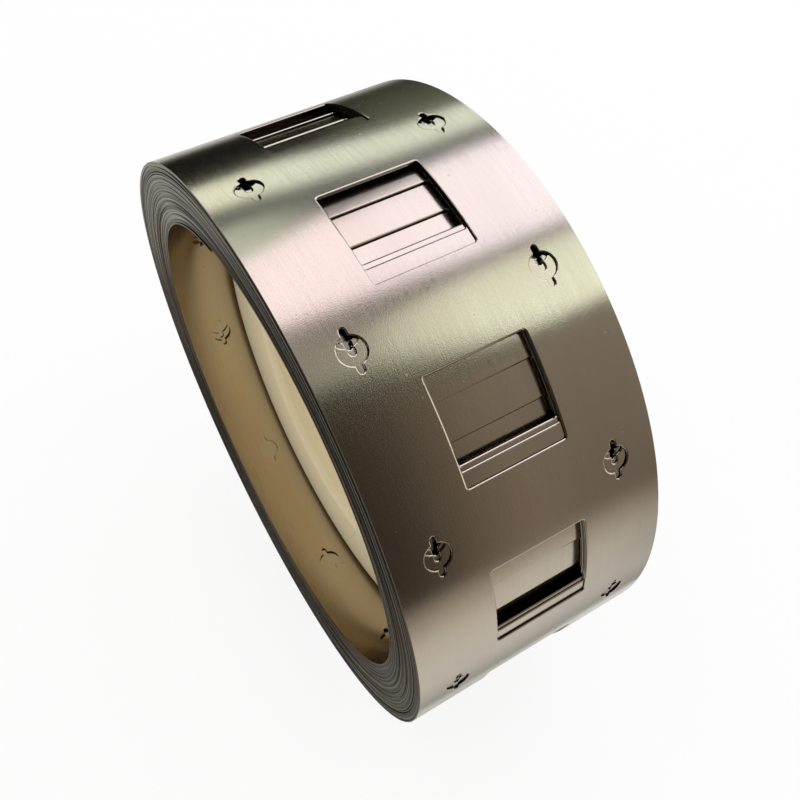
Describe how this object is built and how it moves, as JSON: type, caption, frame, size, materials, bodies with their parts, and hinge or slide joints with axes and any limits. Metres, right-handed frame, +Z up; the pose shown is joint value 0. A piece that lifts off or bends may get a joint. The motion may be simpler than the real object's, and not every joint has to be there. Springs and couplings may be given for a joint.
{
  "type": "coil of punched nickel strip",
  "caption": "Thin nickel strip wound into a ring on a narrow pale core, punched with square windows and slotted holes, for spot welding rows of round battery cells together.",
  "frame": {"origin": "under the middle of the coil, on the lowest line of its rim, at floor level", "axes": "+X along the coil's axis and across the strip's width, towards the end that the picture doesn't show; -Y towards the front; +Z up, with the coil standing on its rim"},
  "size_m": [0.027, 0.0655, 0.0653],
  "materials": {
    "nickel": "bare rolled nickel, satin, with fine streaks along the strip and a warm tint",
    "core": "pale cream, matte, with the fine edges of wound layers on its sides"
  },
  "bodies": {
    "root": {"nickel_strip_coil": "nickel", "winding_core": "core"}
  },
  "joints": []
}
